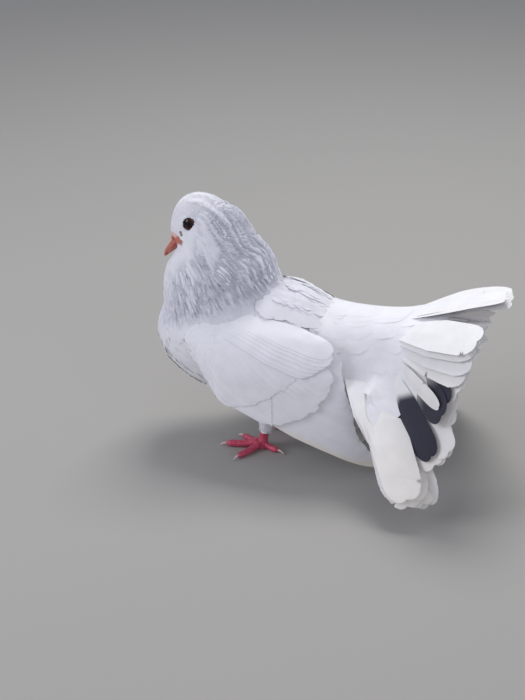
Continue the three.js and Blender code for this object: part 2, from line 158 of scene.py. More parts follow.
def plumageMaterial(name, barbs):
    material, nodes, links, shader = shaderOf(
        name, Roughness=plumage["roughness"], Sheen_Weight=plumage["sheen"], Sheen_Roughness=0.6,
        Specular_IOR_Level=0.25)
    tint = addNode(nodes, "ShaderNodeAttribute", attribute_name="tint")
    place, cloud = addCloud(nodes, links, 1 / (plumage["mottleSize"] * mm), 3.0)
    dim = addNode(nodes, "ShaderNodeMapRange", **{"From Min": 0.3, "From Max": 0.7,
                  "To Min": plumage["mottle"][0], "To Max": plumage["mottle"][1]})
    links.new(cloud.outputs["Fac"], dim.inputs["Value"])
    mixed = addNode(nodes, "ShaderNodeVectorMath", operation="SCALE")
    links.new(tint.outputs["Color"], mixed.inputs[0])
    links.new(dim.outputs["Result"], mixed.inputs["Scale"])
    links.new(mixed.outputs["Vector"], shader.inputs["Base Color"])
    fine = addNode(nodes, "ShaderNodeTexNoise", Scale=1 / (0.7 * mm), Detail=2.0)
    links.new(place.outputs["Object"], fine.inputs["Vector"])
    height = fine.outputs["Fac"]
    if barbs:
        phase = addNode(nodes, "ShaderNodeAttribute", attribute_name="barb")
        wave = addNode(nodes, "ShaderNodeMath", operation="SINE")
        links.new(phase.outputs["Fac"], wave.inputs[0])
        both = addNode(nodes, "ShaderNodeMath", operation="MULTIPLY_ADD")
        both.inputs[1].default_value = 0.5
        links.new(wave.outputs[0], both.inputs[0])
        links.new(fine.outputs["Fac"], both.inputs[2])
        height = both.outputs[0]
    addBump(nodes, links, shader, height, 0.45, plumage["barbDepth"])
    return material


downMaterial = plumageMaterial("soft_feathers", barbs=False)
vaneMaterial = plumageMaterial("long_feathers", barbs=True)

tones = {
    "white": (0.88, 0.88, 0.90),
    "lavender": (0.76, 0.765, 0.85),
    "cream": (0.86, 0.81, 0.72),
    "slate": (0.026, 0.027, 0.045),
    # groove: painted shade for the furrows between the neck's locks
    "groove": (0.30, 0.30, 0.38),
    "soil": (0.16, 0.11, 0.09),
    "coral": (0.52, 0.16, 0.12),
    "cere": (0.74, 0.50, 0.46),
}
tones = {name: np.array(colour) for name, colour in tones.items()}


def blendTone(a, b, amount):
    amount = np.asarray(amount, float)[..., None]
    return tones[a] * (1 - amount) + tones[b] * amount


# Pieces
def addPiece(name, points, faces, material, replaced=(), tints=None, barb=None, uv=None):
    mesh = bpy.data.meshes.new(name)
    mesh.from_pydata(toFrame(points).tolist(), [], faces.tolist())
    mesh.shade_smooth()
    if uv is not None:
        mesh.set_sharp_from_angle(angle=math.radians(70))  # a thin vane's two faces are shaded apart
    if tints is not None:
        colours = np.ones((len(points), 4), np.float32)
        colours[:, :3] = tints
        mesh.attributes.new("tint", "FLOAT_COLOR", "POINT").data.foreach_set("color", colours.ravel())
    if barb is not None:
        values = np.asarray(barb, np.float32)
        mesh.attributes.new("barb", "FLOAT", "POINT").data.foreach_set("value", values)
    if uv is not None:
        layer = mesh.uv_layers.new(name="OFBake")
        layer.data.foreach_set("uv", np.asarray(uv, np.float32).ravel())
    mesh.materials.append(material)
    return dressPiece(bpy.data.objects.new(name, mesh), replaced)


def dressPiece(piece, replaced=()):
    bpy.context.scene.collection.objects.link(piece)
    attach(piece, "root")
    if replaced:
        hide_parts(*replaced)
    return piece


def remeshed(nodeNames, voxel, rounds, grow=0.0):
    # a smooth copy of some of the frame's solids as one closed mesh: points in bird's millimetres, faces
    bm = bmesh.new()
    for node in nodeNames:
        bm.from_mesh(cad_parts[node].data)
    mesh = bpy.data.meshes.new("copy")
    bm.to_mesh(mesh)
    bm.free()
    copy = bpy.data.objects.new("copy", mesh)
    bpy.context.scene.collection.objects.link(copy)
    remesh = copy.modifiers.new("remesh", "REMESH")
    remesh.mode = "VOXEL"
    remesh.voxel_size = voxel * mm
    relax = copy.modifiers.new("relax", "SMOOTH")
    relax.factor = 0.5
    relax.iterations = rounds
    done = bpy.data.meshes.new_from_object(copy.evaluated_get(bpy.context.evaluated_depsgraph_get()))
    points = np.empty(len(done.vertices) * 3)
    done.vertices.foreach_get("co", points)
    normals = np.empty(len(done.vertices) * 3)
    done.vertices.foreach_get("normal", normals)
    done.calc_loop_triangles()
    triangles = np.empty(len(done.loop_triangles) * 3, np.int32)
    done.loop_triangles.foreach_get("vertices", triangles)
    quads = [tuple(face.vertices) for face in done.polygons]
    bpy.data.objects.remove(copy)
    points = toBird(points.reshape(-1, 3))
    normals = normals.reshape(-1, 3)
    return points + normals * grow, normals, triangles.reshape(-1, 3), np.array(quads)


# Skin: one body under the coat, drawn in by the coat's depth and furrowed on the neck
face = np.array([-68.0, 0.0, 158.0])  # feathers lie away from the base of the bill
neckFoot = {"at": np.array([-40.0, 0, 112]), "up": np.array([-0.42, 0, 0.907])}
neckTop = {"at": np.array([-50.0, 0, 154.5]), "up": np.array([-0.5, 0, 0.866])}
skin = {
    "nodes": ["head", "neck", "torso", "thigh_left", "thigh_right"],
    "voxel": 1.4,
    "rounds": 10,
    "depth": {"face": 0.6, "neck": 2.6, "body": 1.3},
    "furrows": {"cells": (140, 210), "long": (15.0, 9.0), "part": (1.0, 0.85), "deep": 1.9, "bend": 0.06,
                "wide": 0.55},
}


def heightOver(cut, points):
    return (points - cut["at"]) @ cut["up"]


def furrow(points):
    # 0 on the crest of a lock and 1 in the groove beside it, with how strongly the locks are parted there
    shape = skin["furrows"]
    axis = unit(np.array([36.0, 0, -70.0]))
    across = np.cross([0, 1.0, 0], axis)
    away = points - face
    reach = np.linalg.norm(away, axis=1)
    turn = np.arctan2(away[:, 1], away @ across)
    turn = turn + shape["bend"] * (noise(points, 13, 3) - 0.5) * 2 + 0.03 * (noise(points, 5, 4) - 0.5)
    groove = 0
    parts = (shape["part"][0], shape["part"][1] * smooth(30, 52, reach))
    for cells, long, part in zip(shape["cells"], shape["long"], parts):
        radius = cells / (2 * math.pi)
        place = np.stack([radius * np.cos(turn), radius * np.sin(turn), reach / long], axis=1)
        crest = smooth(0.0, shape["wide"], np.abs(2 * noise(place, 1.0, 7) - 1))
        groove = np.maximum(groove, part * (1 - crest))
    strength = smooth(-9, 3, heightOver(neckFoot, points)) * smooth(20, 40, reach)
    strength *= 0.3 + 0.7 * smooth(-80, -58, points[:, 0])
    strength *= 1 - 0.6 * smooth(12, 30, heightOver(neckTop, points))
    return groove, strength


def coatDepth(points):
    depth = skin["depth"]
    reach = np.linalg.norm(points - face, axis=1)
    toBody = smooth(10, -20, heightOver(neckFoot, points))
    overHead = depth["face"] + (depth["neck"] - depth["face"]) * smooth(18, 45, reach)
    return overHead * (1 - toBody) + depth["body"] * toBody


# The bill's bare base runs back along the cheek to the corner of the mouth, and a pale cere lies over it
gape = {"from": (-72.0, -4.0, 156.6), "to": (-62.2, -8.3, 155.4), "radii": (4.6, 1.0), "flat": 0.3,
        "cere": (-72.0, -3.6, 160.6), "cereSize": 3.4}


def gapeDepth(points):
    # above 0 inside the bare patch on either side of the face, measured mostly as seen from the side
    scale = np.array([1, gape["flat"], 1])
    p = np.array(points, float) * scale
    p[:, 1] = -np.abs(p[:, 1])
    a, b = np.array(gape["from"]) * scale, np.array(gape["to"]) * scale
    t = np.clip((p - a) @ (b - a) / ((b - a) @ (b - a)), 0, 1)
    radius = gape["radii"][0] + (gape["radii"][1] - gape["radii"][0]) * t
    return radius - np.linalg.norm(p - a - (b - a) * t[:, None], axis=1)


points, normals, triangles, quads = remeshed(skin["nodes"], skin["voxel"], skin["rounds"])
skinPoints = points - normals * coatDepth(points)[:, None]
# Painted shade: the skin under the coat is tinted a darker grey-lavender, so it reads as shade where it shows
# between the feathers
skinTints = blendTone("white", "lavender", np.full(len(points), 0.6))
# Specks of dirt beside the bill
soil = {"places": [(-60.6, -8.3, 155.0), (-64.6, -7.0, 161.7)], "wide": 2.6}
soilSpots = [skinPoints[np.argmin(np.linalg.norm(skinPoints - place, axis=1))] for place in soil["places"]]


def soiledAt(points):
    near = np.min([np.linalg.norm(points - spot, axis=1) for spot in soilSpots], axis=0)
    return smooth(0.2, 0.6, 1 - near / soil["wide"] + 0.5 * (noise(points, 1.2, 31) - 0.5))[:, None]


coral = smooth(-0.9, 0.1, gapeDepth(points))[:, None]
pale = np.linalg.norm(points * (1, 0, 1) - np.array(gape["cere"]) * (1, 0, 1), axis=1)
pale = smooth(gape["cereSize"] + 0.8, gape["cereSize"] - 0.8, pale)[:, None]
skinTints = skinTints * (1 - coral) + (tones["coral"] * (1 - pale) + tones["cere"] * pale) * coral
skinTints = skinTints * (1 - soiledAt(skinPoints)) + tones["soil"] * soiledAt(skinPoints)
addPiece("skin", skinPoints, quads, downMaterial, skin["nodes"], tints=skinTints)
skinTree = BVHTree.FromPolygons([Vector(p) for p in skinPoints], triangles.tolist())
print("skin:", len(quads), "faces")


def onSkin(points, tree=None):
    # the nearest places on the skin, with its outward directions there
    tree = tree or skinTree
    found = [tree.find_nearest(Vector(p)) for p in points]
    return np.array([f[0] for f in found]), np.array([f[1] for f in found])


# Coat: small feathers over the skin, each a thin closed vane that bends with the skin
tuftSteps = np.array([0.3, 0.66, 0.9])
around = [(dx, dy, dz) for dx in (-1, 0, 1) for dy in (-1, 0, 1) for dz in (-1, 0, 1)]


def scatter(spacingAt, keep, tries, corners, faces):
    # evenly spread places on a mesh: a candidate is kept where no kept one is nearer than the spacing there
    a, b, c = (corners[faces[:, k]] for k in range(3))
    area = np.linalg.norm(np.cross(b - a, c - a), axis=1)
    inside = keep((a + b + c) / 3)
    area = area * inside
    chosen = chance.choice(len(faces), tries, p=area / area.sum())
    r, s = chance.random(tries), chance.random(tries)
    r, s = np.where(r + s > 1, 1 - r, r), np.where(r + s > 1, 1 - s, s)
    spots = a[chosen] + (b - a)[chosen] * r[:, None] + (c - a)[chosen] * s[:, None]
    spacing = spacingAt(spots)
    size = spacing.max()
    cells, kept = {}, []
    for i, (cell, spot, near) in enumerate(zip(np.floor(spots / size).astype(int).tolist(), spots, spacing)):
        x, y, z = cell
        gaps = (spot - other for dx, dy, dz in around for other in cells.get((x + dx, y + dy, z + dz), ()))
        if not any(g[0] * g[0] + g[1] * g[1] + g[2] * g[2] < near * near for g in gaps):
            cells.setdefault((x, y, z), []).append(spot)
            kept.append(i)
    return spots[kept]


def lieOf(points, normals, source=face):
    # feathers lie away from the bill, over the crown and down the neck, and back along the body
    away = unit(points - source)
    back = smooth(0, -40, heightOver(neckFoot, points))[:, None]
    down = smooth(-0.1, -0.8, normals[:, 0])[:, None]
    way = away * (1 - back) + unit([1.0, 0, -0.16] + down * [0, 0, -1.6]) * back
    way = way - normals * np.sum(way * normals, axis=1)[:, None]
    return unit(way)


def swell(points):
    # how far the coat stands out along its locks and sinks in the furrows between them
    groove, strength = furrow(points)
    return (skin["furrows"]["deep"] * (0.75 - groove) * strength)[:, None]


def tufts(roots, way, long, wide, lift, crown, thick, tree=None, droop=0.0, furrowed=False, base=0.0):
    # every tuft is a row of bent cross-sections between a root point and a tip point; base raises all of it
    raised = (lambda spots, above: spots + above * swell(spots)) if furrowed else (lambda spots, above: spots)
    count = len(roots)
    stations = []
    for u in [0.0, *tuftSteps, 1.0]:
        spots, above = onSkin(roots + way * (long * u)[:, None], tree)
        stations.append((u, spots, above))
    points, uv = [], []
    for u, spots, above in stations:
        rise = lift * (math.sin(min(u, 0.8) / 0.8 * math.pi / 2) - droop * max(0, u - 0.6) / 0.4)
        centre = spots + above * np.asarray(rise + base)[..., None]
        if u in (0.0, 1.0):
            points.append(raised(centre - above * (0.25 if u == 0 else 0.0), above))
            uv.append((0.0, u))
            continue
        beside = unit(np.cross(above, way))
        half = (wide / 2 * (0.62 + 0.38 * math.sin(u * math.pi)) * (1.0 if u < 0.85 else 0.62))[:, None]
        middle = raised(centre + above * (crown * half), above)
        points += [raised(centre - beside * half, above), middle, raised(centre + beside * half, above),
                   middle - above * thick]
        uv += [(-0.5, u), (0.0, u), (0.5, u), (0.0, u)]
    points = np.stack(points, axis=1)
    last = points.shape[1] - 1
    faces = []
    for k in range(4):
        n = (k + 1) % 4
        faces.append((0, 1 + k, 1 + n))
        for ring in range(len(tuftSteps) - 1):
            a, b = 1 + ring * 4, 5 + ring * 4
            faces += [(a + k, b + k, b + n), (a + k, b + n, a + n)]
        faces.append((last, last - 4 + n, last - 4 + k))
    faces = np.array(faces)
    offsets = (np.arange(count) * points.shape[1])[:, None, None]
    return points.reshape(-1, 3), (faces[None] + offsets).reshape(-1, 3), np.array(uv)


def tuftUv(roots, local, faces, axis):
    # each tuft's patch stands at its root's place on an unwrap of the skin round an axis
    start, end = np.array(axis[0], float), np.array(axis[1], float)
    along = end - start
    t = (roots - start) @ along / (along @ along)
    side = unit(np.cross(along, [0, 1.0, 0]))
    away = roots - start
    turn = np.arctan2(away[:, 1], away @ side) / (2 * math.pi) + 0.5
    base = np.stack([0.02 + 0.96 * np.clip(t, 0, 1), 0.02 + 0.96 * turn], axis=1)
    every = (base[:, None, :] + local[None] * 0.003).reshape(-1, 2)
    return every[faces.ravel()]


eyeBalls = [eyeAt * (1, side * -1, 1) for side in sides.values()]
bare = {"eye": 6.5, "bill": 6.0, "lap": 2.6}


def clearOfFace(points):
    clear = np.ones(len(points), bool)
    for centre in eyeBalls:
        clear &= np.linalg.norm(points - centre, axis=1) > bare["eye"]
        clear &= np.linalg.norm(points + unit(points - face) * bare["lap"] - centre, axis=1) > bare["eye"]
    billLine = np.array([[-65, 0, 158.5], [-71, 0, 152.6], [-79, 0, 144.2]])
    for t in np.linspace(0, 1, 9):
        clear &= np.linalg.norm(points - through(billLine, t), axis=1) > bare["bill"] * (1 - 0.3 * t)
    ahead = points + unit(points - face) * bare["lap"]
    return clear & (gapeDepth(points) < 0) & (gapeDepth(ahead) < -0.2)


def besideLeg(points):
    return (points[:, 2] < 44) & (np.abs(np.abs(points[:, 1]) - 19) < 16)


onTop = lambda p: (p[:, 2] > 106) & (np.abs(p[:, 1]) < 24)
onNeck = lambda p: (heightOver(neckTop, p) <= -1.0) & (heightOver(neckFoot, p) > -6)
# Pairs run from the face to the body; axis is the line that the coat's OFBake map is unwrapped round
neckCoat = {"tries": 60000, "spacing": (0.95, 1.15), "long": (5.5, 8.0), "wide": (1.4, 1.8),
            "lift": (0.25, 0.35), "crown": 0.08, "thick": 0.1, "axis": ((-50, 0, 165), (-35, 0, 95)),
            "droop": 0.1, "swirl": 0.16}
coats = {
    "head": {"where": lambda p: heightOver(neckTop, p) > -1.0, "tries": 40000, "spacing": (0.8, 1.25),
             "long": (2.8, 6.5), "wide": (1.5, 1.9), "lift": (0.12, 0.5), "crown": 0.08, "thick": 0.1,
             "axis": ((-50, 0, 195), (-50, 0, 140)), "droop": 0.2, "swirl": 0.3},
    "neck_left": {"where": lambda p: onNeck(p) & (p[:, 1] < 0), **neckCoat},
    "neck_right": {"where": lambda p: onNeck(p) & (p[:, 1] >= 0), **neckCoat},
    "body": {"where": lambda p: (heightOver(neckFoot, p) <= -5) & ~besideLeg(p), "tries": 60000,
             "spacing": (2.2, 2.2), "long": (15.0, 17.0), "wide": (8.5, 9.5), "lift": (0.55, 0.6),
             "crown": 0.05, "thick": 0.12, "axis": ((-90, 0, 80), (95, 0, 90)), "droop": 0.35, "swirl": 0.25},
    "mantle": {"where": lambda p: (heightOver(neckFoot, p) <= -4) & (p[:, 0] < 52) & onTop(p), "tries": 14000,
               "spacing": (2.0, 2.0), "long": (14.0, 16.0), "wide": (9.0, 10.0), "lift": (0.5, 0.5),
               "base": 2.0, "crown": 0.04, "thick": 0.12, "axis": ((-60, 0, 120), (60, 0, 120)),
               "droop": 0.4, "swirl": 0.15},
    "thighs": {"where": lambda p: besideLeg(p), "tries": 6000, "spacing": (1.5, 1.5), "long": (7.0, 9.0),
               "wide": (2.2, 2.8), "lift": (0.6, 0.8), "crown": 0.15, "thick": 0.14,
               "axis": ((8, 0, 60), (3, 0, 10)), "droop": 0.3, "swirl": 0.5},
}
collar = {"lift": 0.9, "long": 5.0, "wide": 0.8, "band": (6, -5)}  # the lowest hackles lie over the shoulders


def growCoat(name, shape):
    def blend(pair, points):
        away = smooth(12, 60, np.linalg.norm(points - face, axis=1))
        return pair[0] + (pair[1] - pair[0]) * away
    keep = lambda p: shape["where"](p) & clearOfFace(p)
    roots = scatter(lambda p: blend(shape["spacing"], p), keep, shape["tries"], skinPoints, triangles)
    roots, above = onSkin(roots)
    way = lieOf(roots, above)
    if name == "thighs":
        way = unit(way * 0.3 + np.array([0, 0, -1.0]) - above * (above @ np.array([0, 0, -1.0]))[:, None])
    swirl = noise(roots, 7.0, 11) - 0.5 + 0.6 * (chance.random(len(roots)) - 0.5)
    way = unit(way + np.cross(above, way) * (shape["swirl"] * swirl)[:, None])
    vary = lambda amount: 1 + amount * (chance.random(len(roots)) * 2 - 1)
    hem = smooth(*collar["band"], heightOver(neckFoot, roots)) * name.startswith("neck")
    hem = hem * smooth(-72, -55, roots[:, 0])
    long = blend(shape["long"], roots) * vary(0.2) + collar["long"] * hem
    wide = blend(shape["wide"], roots) * vary(0.18) + collar["wide"] * hem
    lift = blend(shape["lift"], roots) * vary(0.3) * (0.4 + 0.6 * smooth(-78, -50, roots[:, 0]))
    lift = lift + collar["lift"] * hem
    base = shape.get("base", 0) * smooth(-52, -34, roots[:, 0]) * (1 - 0.4 * smooth(24, 48, roots[:, 0]))
    furrowed = name not in ("body", "mantle", "thighs")
    points, faces, local = tufts(roots, way, long, wide, lift, shape["crown"], shape["thick"],
                                 droop=shape["droop"], furrowed=furrowed, base=base)
    _, parted = furrow(roots)
    # Random tone and painted shade: the tint runs to lavender by noise, and further to lavender as painted
    # shade where the neck's locks are parted
    amount = np.clip(0.3 + 0.5 * (noise(roots, 20, 9) - 0.5) + 0.4 * parted, 0, 1)
    tints = blendTone("white", "lavender", amount)
    tints = tints * (1 - soiledAt(roots)) + tones["soil"] * soiledAt(roots)
    # Painted shade: each tuft is a little darker toward its root, where its neighbours cover it
    rootShade = np.tile(1 - 0.08 * (1 - local[:, 1]), len(roots))[:, None]
    tints = np.repeat(tints, len(local), axis=0) * rootShade
    # Painted shade: the tufts are darkened toward the groove tone where they lie in the neck's furrows
    deep, part = furrow(points)
    shade = (0.7 * smooth(0.35, 1.0, deep) * part)[:, None]
    tints = tints * (1 - shade) + tones["groove"] * shade
    addPiece("coat_" + name, points, faces, downMaterial, tints=tints,
             uv=tuftUv(roots, local, faces, shape["axis"]))
    print("coat", name, len(roots), "feathers", len(faces), "triangles")


for name, shape in coats.items():
    growCoat(name, shape)


# Long feathers: two faces of one grid along and across the vane, closed at the edges
barbGap = 0.85  # mm between the barbs' ridges


def vane(centre, beside, above, halves, camber, thick, tints, rachis=0.25, lean=0.0, slant=0.5, lay=None):
    # the grid's cross lines are the barbs: they slant toward the tip on both sides of the shaft
    # lay bends the vane to a sheet: it turns places across and ahead of the shaft into points and ways out
    n = len(centre)
    across = np.array([-1, -0.66, -0.3, -0.07, 0.07, 0.3, 0.66, 1.0])
    m = len(across)
    half = np.where(across[None] < 0, halves[0][:, None], halves[1][:, None])
    reach = across[None] * half
    high = camber * (1 - across[None] ** 2) * half - lean * reach
    ridge = rachis * (np.abs(across[None]) < 0.1) * np.linspace(1, 0.25, n)[:, None]
    ahead = unit(np.gradient(centre, axis=0))
    swept = slant * np.abs(reach) * smooth(0, 0.2, np.linspace(0, 1, n))[:, None]
    body = centre[:, None] + beside[:, None] * reach[..., None] + ahead[:, None] * swept[..., None]
    edge = thick * (0.3 + 0.7 * (1 - across[None] ** 4))
    outward = above[:, None]
    if lay:
        body, outward = lay(reach, swept)
    top = body + outward * (high + ridge + edge / 2)[..., None]
    low = body + outward * (high - ridge * 0.5 - edge / 2)[..., None]
    points = np.concatenate([top.reshape(-1, 3), low.reshape(-1, 3)])
    at = lambda f, i, j: f * n * m + i * m + j
    faces = []
    for i in range(n - 1):
        for j in range(m - 1):
            faces.append((at(0, i, j), at(0, i + 1, j), at(0, i + 1, j + 1), at(0, i, j + 1)))
            faces.append((at(1, i, j), at(1, i, j + 1), at(1, i + 1, j + 1), at(1, i + 1, j)))
    uvFaces = list(faces)
    rim = [(i, 0, i + 1, 0) for i in range(n - 1)] + [(i + 1, m - 1, i, m - 1) for i in range(n - 1)]
    rim += [(0, j + 1, 0, j) for j in range(m - 1)] + [(n - 1, j, n - 1, j + 1) for j in range(m - 1)]
    for i, j, k, l in rim:
        faces.append((at(0, i, j), at(1, i, j), at(1, k, l), at(0, k, l)))
        uvFaces.append((at(0, i, j), at(0, i, j), at(0, k, l), at(0, k, l)))
    along = np.concatenate([[0], np.cumsum(np.linalg.norm(np.diff(centre, axis=0), axis=1))])
    phase = np.repeat(along / barbGap * 2 * math.pi, m)
    spread = np.stack(np.broadcast_arrays((across[None] + 1) / 2, (along / along[-1])[:, None]), axis=-1)
    return {
        "points": points,
        "faces": np.array(faces),
        "uvFaces": np.array(uvFaces),
        "barb": np.tile(phase, 2),
        "local": spread.reshape(-1, 2),
        "tints": np.tile(np.broadcast_to(tints[:, None], (n, m, 3)).reshape(-1, 3), (2, 1)),
    }


def joinVanes(name, vanes, replaced=()):
    points, faces, barb, tints, uv = [], [], [], [], []
    start = 0
    for i, one in enumerate(vanes):
        width = 1 / len(vanes)
        local = one["local"]
        upper = np.stack([(i + 0.04 + 0.42 * local[:, 0]) * width, 0.01 + 0.98 * local[:, 1]], axis=1)
        lower = np.stack([(i + 0.54 + 0.42 * local[:, 0]) * width, 0.01 + 0.98 * local[:, 1]], axis=1)
        uv.append(np.concatenate([upper, lower])[one["uvFaces"].ravel()])
        points.append(one["points"])
        faces.append(one["faces"] + start)
        barb.append(one["barb"])
        tints.append(one["tints"])
        start += len(one["points"])
    addPiece(name, np.concatenate(points), np.concatenate(faces), vaneMaterial, replaced,
             tints=np.concatenate(tints), barb=np.concatenate(barb), uv=np.concatenate(uv))
    print(name, len(vanes), "long feathers")


def vaneWidth(u, blunt=0.78, base=0.3):
    rounded = np.sqrt(np.maximum(0.012, 1 - (np.maximum(0, u - blunt) / (1.004 - blunt)) ** 2))
    return np.minimum(1, base + 1.4 * u) * rounded


def ragged(u, width, splits, fray):
    # half widths of the two sides, notched where the barbs have parted and uneven at the tip
    halves = []
    for side in (0, 1):
        half = vaneWidth(u) * width / 2
        for place in chance.uniform(0.35, 0.97, chance.poisson(splits)):
            deep, wide = chance.uniform(0.1, 0.35), chance.uniform(0.004, 0.008)
            half = half * (1 - deep * np.exp(-(((u - place) / wide) ** 2)))
        uneven = 1 - fray * chance.random(len(u)) * smooth(0.5, 1.0, u)
        halves.append(half * uneven)
    return halves


longSteps = np.concatenate([np.linspace(0, 0.86, 22), np.linspace(0.88, 1, 11)])
fineSteps = np.concatenate([np.linspace(0, 0.4, 9), np.linspace(0.42, 1, 52)])

# Wings: feathers in rows on a curved sheet beside the body
wingSheet = {"middle": 2, "height": 72, "out": 50, "frontBend": 8, "backBend": 3.6, "topBend": 30,
             "footBend": 4.5}
wingDrop = {-1: 0, 1: 4}  # how far each side's wing hangs, left then right
leadingEdge = [[-54, 91], [-47, 79], [-27, 53.5], [6, 42], [38, 28], [71, 15.5], [95, 9]]
upperEdge = [[-54, 93], [-46, 105], [-28, 116.5], [-5, 124.5], [12, 125.5], [30, 122.5], [47, 116], [60, 104],
             [65, 78], [75, 57], [81, 30], [95, 12]]
wingCore = {"outer": (0.6, 3.4), "inner": (-0.8, -6)}
wingTuck = {"from": 104, "to": 122, "over": 0.4, "keep": 0.25, "front": (-20, -46), "frontMost": 0.85}
wingRows = {
    "flight": {"roots": [[-27, 64], [-26, 71], [-20, 80], [-11, 90], [-2, 98], [6, 105], [12, 109], [18, 112]],
               "tips": [[97, 12], [88, 19], [83, 28], [79, 39], [76, 50], [72, 62], [67, 73], [64, 86]],
               "count": 20, "width": 17, "lifts": (0, 0), "sag": (-1, 6), "lean": 0.075},
    "greater": {"roots": [[-37, 70], [-34, 80], [-26, 90], [-15, 99], [-2, 106], [9, 110]],
                "tips": [[20, 43], [31, 44], [42, 49], [51, 57], [58, 67], [61, 78]],
                "count": 16, "width": 15, "lifts": (2.6, 2.9), "sag": (0, 4), "lean": 0.06},
    "median": {"roots": [[-43, 78], [-41, 87], [-33, 97], [-20, 105], [-4, 111]],
               "tips": [[-9, 53], [2, 55], [15, 61], [27, 70], [38, 82]],
               "count": 15, "width": 14, "lifts": (3.6, 3.9), "sag": (0, 3), "lean": 0.05},
    "scapular": {"roots": [[-24, 103], [-25, 109], [-22, 113]], "tips": [[46, 86], [58, 92], [60, 99]],
                 "count": 7, "width": 17, "lifts": (3.6, 4.4), "sag": (4, 4), "lean": 0.07},
}


def wingPoint(side, flat, lift):
    flat = np.asarray(flat, float)
    a = (flat[..., 0] - wingSheet["middle"]) / 70
    b = (flat[..., 1] - wingSheet["height"]) / 50
    bend = np.where(a > 0, wingSheet["backBend"], wingSheet["frontBend"]) * a * a
    bend = bend + np.where(b > 0, wingSheet["topBend"], wingSheet["footBend"]) * b * b
    out = wingSheet["out"] - bend + lift
    return np.stack([flat[..., 0], side * out, flat[..., 1] - wingDrop[side]], axis=-1)


def wingVane(side, root, tip, row, t, tone):
    u = longSteps
    sag = row["sag"][0] + (row["sag"][1] - row["sag"][0]) * t
    way = unit(tip - root)
    bow = np.array([-way[1], way[0]])
    flat = root + (tip - root) * u[:, None] + bow * (4 * sag * u * (1 - u))[:, None] * 0.5
    lift = row["lifts"][0] + (row["lifts"][1] - row["lifts"][0]) * np.minimum(1, u * 1.8)
    centre = wingPoint(side, flat, lift)
    nudge = 0.5
    du = wingPoint(side, flat + [nudge, 0], lift) - wingPoint(side, flat - [nudge, 0], lift)
    dv = wingPoint(side, flat + [0, nudge], lift) - wingPoint(side, flat - [0, nudge], lift)
    above = unit(np.cross(du, dv)) * -side
    above = above * np.sign(np.sum(above * [0, side, 0], axis=1))[:, None]
    beside = unit(np.cross(above, np.gradient(centre, axis=0)))
    upwards = np.sign(np.sum(beside * [0, 0, 1.0], axis=1))
    beside = beside * upwards[:, None]
    halves = ragged(u, row["width"], 0.35, 0.04)
    made = vane(centre, beside, above, halves, 0.02, 0.3, tone, rachis=0.1, lean=row["lean"], slant=0.35)
    made["points"] = onBack(made["points"], side)
    return made


def onBack(points, side):
    # the wing's uppermost feathers lie down on the feathers of the back, and its front edge on the breast
    spots, above = onSkin(points)
    high = np.sum((points - spots) * above, axis=1)
    weight = np.maximum(smooth(wingTuck["from"], wingTuck["to"], points[:, 2] + wingDrop[side]),
                        wingTuck["frontMost"] * smooth(*wingTuck["front"], points[:, 0]))
    return points + above * ((wingTuck["over"] + wingTuck["keep"] * high - high) * weight)[:, None]


def buildWing(name, side):
    vanes = []
    for rowName, row in wingRows.items():
        for i in range(row["count"]):
            t = i / (row["count"] - 1)
            root = through(row["roots"], t)
            tip = through(row["tips"], t)
            tip = tip + (root - tip) * chance.uniform(-0.005, 0.03)
            amount = np.full(len(longSteps), 0.3 + 0.1 * chance.standard_normal())
            tone = blendTone("white", "lavender", np.clip(amount, 0, 1))
            if rowName == "flight" and t < 0.12:
                edge = (smooth(0.3, 0.6, longSteps) * (1 - t / 0.15))[:, None]
                tone = tone * (1 - edge) + tones["cream"] * edge
            vanes.append(wingVane(side, root, tip, row, t, tone))
    joinVanes("wing_feathers_" + name, vanes, ["wing_" + name])
    buildWingCore(name, side)


def volumeOf(points, faces):
    a, b, c = points[faces[:, 0]], points[faces[:, 1]], points[faces[:, 2]]
    return np.sum(a * np.cross(b, c)) / 6


def buildWingCore(name, side):
    us, vs = np.linspace(0, 1, 40), np.linspace(0, 1, 30)
    faces, points = [], []
    for edge, middle in wingCore.values():
        for u in us:
            low = through(leadingEdge, u * 0.56)
            high = through(upperEdge, u * 0.4)
            line = low + (high - low) * (0.02 + 0.95 * vs)[:, None]
            hump = np.sqrt(np.maximum(0, 1 - (2 * vs - 1) ** 2))
            points.append(wingPoint(side, line, edge + middle * (1 - u**3) * hump))
    points = onBack(np.concatenate(points), side)
    n, m = len(us), len(vs)
    at = lambda f, i, j: f * n * m + i * m + j
    for i in range(n - 1):
        for j in range(m - 1):
            faces.append((at(0, i, j), at(0, i + 1, j), at(0, i + 1, j + 1), at(0, i, j + 1)))
            faces.append((at(1, i, j), at(1, i, j + 1), at(1, i + 1, j + 1), at(1, i + 1, j)))
        for j, k in ((0, 1), (m - 1, 0)):
            a, b = (i, i + 1) if k else (i + 1, i)
            faces.append((at(0, a, j), at(1, a, j), at(1, b, j), at(0, b, j)))
    for j in range(m - 1):
        faces.append((at(0, 0, j + 1), at(1, 0, j + 1), at(1, 0, j), at(0, 0, j)))
        faces.append((at(0, n - 1, j), at(1, n - 1, j), at(1, n - 1, j + 1), at(0, n - 1, j + 1)))
    faces = np.array(faces)
    halved = np.concatenate([faces[:, [0, 1, 2]], faces[:, [0, 2, 3]]])
    if volumeOf(points, halved) < 0:
        faces = faces[:, ::-1]
    tints = blendTone("white", "lavender", np.full(len(points), 0.3))
    addPiece("wing_core_" + name, points, faces, downMaterial, tints=tints)
    coverWing(name, side, points, faces)


lesser = {"spacing": 1.8, "long": 10.0, "wide": 6.0, "lift": 0.55, "crown": 0.05, "thick": 0.12,
          "tries": 26000}


